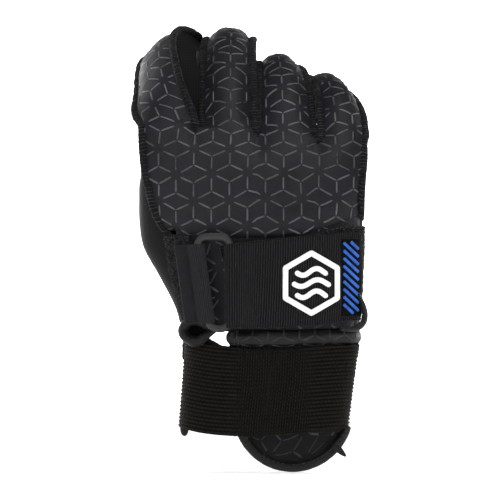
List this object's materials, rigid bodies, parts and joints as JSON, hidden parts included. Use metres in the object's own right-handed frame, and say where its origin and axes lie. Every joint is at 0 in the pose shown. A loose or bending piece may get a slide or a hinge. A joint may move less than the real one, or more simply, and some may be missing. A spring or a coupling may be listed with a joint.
{
  "type": "sports glove",
  "caption": "Right-hand padded sports glove: curved fingers with outside seams, embossed back, leather palm, and a double hook-and-loop wrist closure with a pull-through ring.",
  "frame": {"origin": "centre of the wrist opening, level with the lower edge of the wrist band", "axes": "+Z towards the fingers, +Y towards the palm side, +X towards the little finger"},
  "size_m": [0.1034, 0.1094, 0.1989],
  "materials": {
    "embossed_neoprene": "matte, embossed",
    "smooth_neoprene": "matte",
    "synthetic_leather": "suede",
    "grip_overlay": "satin",
    "finger_side_cloth": "matte",
    "loop_pile": "fuzzy",
    "hook_tape": "rough",
    "webbing": "ribbed",
    "binding_tape": "smooth",
    "ring_plastic": "moulded",
    "emblem_thread": "embroidered",
    "end_tab_stripes": "striped"
  },
  "bodies": {
    "hand": {"back_panel": "embossed_neoprene", "cuff_back": "embossed_neoprene", "cuff_under": "embossed_neoprene", "cuff_hem": "embossed_neoprene", "thumb_panel": "smooth_neoprene", "palm_panel": "synthetic_leather", "palm_heel": "synthetic_leather", "palm_heel_patch": "grip_overlay", "palm_overlay": "grip_overlay", "pile_wrap": "loop_pile", "wrist_loop": "binding_tape", "pull_tab": "binding_tape", "ring_tab": "webbing", "strap_base": "webbing", "strap_anchor": "loop_pile", "band_rear": "webbing"},
    "fingers": {"knuckle_back": "embossed_neoprene", "knuckle_palm": "synthetic_leather", "knuckle_fourchettes": "finger_side_cloth"},
    "index_tip": {"index_tip_back": "embossed_neoprene", "index_tip_palm": "synthetic_leather", "index_tip_fourchettes": "finger_side_cloth"},
    "middle_tip": {"middle_tip_back": "embossed_neoprene", "middle_tip_palm": "synthetic_leather", "middle_tip_fourchettes": "finger_side_cloth"},
    "ring_tip": {"ring_tip_back": "embossed_neoprene", "ring_tip_palm": "synthetic_leather", "ring_tip_fourchettes": "finger_side_cloth"},
    "little_tip": {"little_tip_back": "embossed_neoprene", "little_tip_palm": "synthetic_leather", "little_tip_fourchettes": "finger_side_cloth"},
    "thumb": {"thumb_back": "smooth_neoprene", "thumb_palm": "synthetic_leather", "thumb_sides": "finger_side_cloth"},
    "thumb_tip": {"thumb_tip_back": "embossed_neoprene", "thumb_tip_palm": "synthetic_leather", "thumb_tip_sides": "finger_side_cloth"},
    "buckle": {"strap_ring": "ring_plastic", "strap_turn": "webbing"},
    "strap": {"strap_flap": "webbing", "strap_emblem": "emblem_thread", "strap_end_tab": "end_tab_stripes", "strap_hook_patch": "hook_tape"},
    "band": {"band_flap": "webbing", "band_hook_patch": "hook_tape"},
    "tongue": {"cuff_tongue": "embossed_neoprene", "tongue_binding": "binding_tape", "binding_tail": "binding_tape"}
  },
  "joints": [
    {"name": "knuckle_fold", "type": "hinge", "parent": "hand", "child": "fingers", "pos_m": [-0.008, -0.005, 0.113], "axis": [-0.9962, 0, 0.0872], "range_deg": [-6, 30], "stiffness_Nm_per_rad": 0.6},
    {"name": "index_curl", "type": "hinge", "parent": "fingers", "child": "index_tip", "pos_m": [-0.04562, 0.01489, 0.15106], "axis": [-0.9939, 0.1045, -0.0347], "range_deg": [-12, 45], "stiffness_Nm_per_rad": 0.08},
    {"name": "middle_curl", "type": "hinge", "parent": "fingers", "child": "middle_tip", "pos_m": [-0.0182, 0.01673, 0.14866], "axis": [-1, 0, 0], "range_deg": [-12, 45], "stiffness_Nm_per_rad": 0.08},
    {"name": "ring_curl", "type": "hinge", "parent": "fingers", "child": "ring_tip", "pos_m": [0.00572, 0.01567, 0.14358], "axis": [-0.9986, -0.0523, 0], "range_deg": [-12, 45], "stiffness_Nm_per_rad": 0.08},
    {"name": "little_curl", "type": "hinge", "parent": "fingers", "child": "little_tip", "pos_m": [0.02967, 0.01274, 0.13836], "axis": [-0.9847, -0.1736, 0.0172], "range_deg": [-12, 45], "stiffness_Nm_per_rad": 0.08},
    {"name": "thumb_swing", "type": "hinge", "parent": "hand", "child": "thumb", "pos_m": [-0.043, 0.012, 0.076], "axis": [0, -0.3824, 0.924], "range_deg": [-6, 38], "stiffness_Nm_per_rad": 0.2},
    {"name": "thumb_curl", "type": "hinge", "parent": "thumb", "child": "thumb_tip", "pos_m": [-0.045, 0.041, 0.088], "axis": [-0.3291, 0.301, -0.895], "range_deg": [-8, 30], "stiffness_Nm_per_rad": 0.08},
    {"name": "ring_swing", "type": "hinge", "parent": "hand", "child": "buckle", "pos_m": [-0.0322, -0.026, 0.06715], "axis": [0, 0, -1], "range_deg": [0, 20]},
    {"name": "strap_peel", "type": "hinge", "parent": "buckle", "child": "strap", "pos_m": [-0.0146, -0.0283, 0.067], "axis": [0, 0, -1], "range_deg": [0, 140]},
    {"name": "band_peel", "type": "hinge", "parent": "hand", "child": "band", "pos_m": [-0.0413, 0, 0.01875], "axis": [0, 0, -1], "range_deg": [0, 140]},
    {"name": "tongue_fold", "type": "hinge", "parent": "hand", "child": "tongue", "pos_m": [0.0105, -0.0148, 0], "axis": [-1, 0, 0], "range_deg": [0, 60], "stiffness_Nm_per_rad": 0.01}
  ]
}
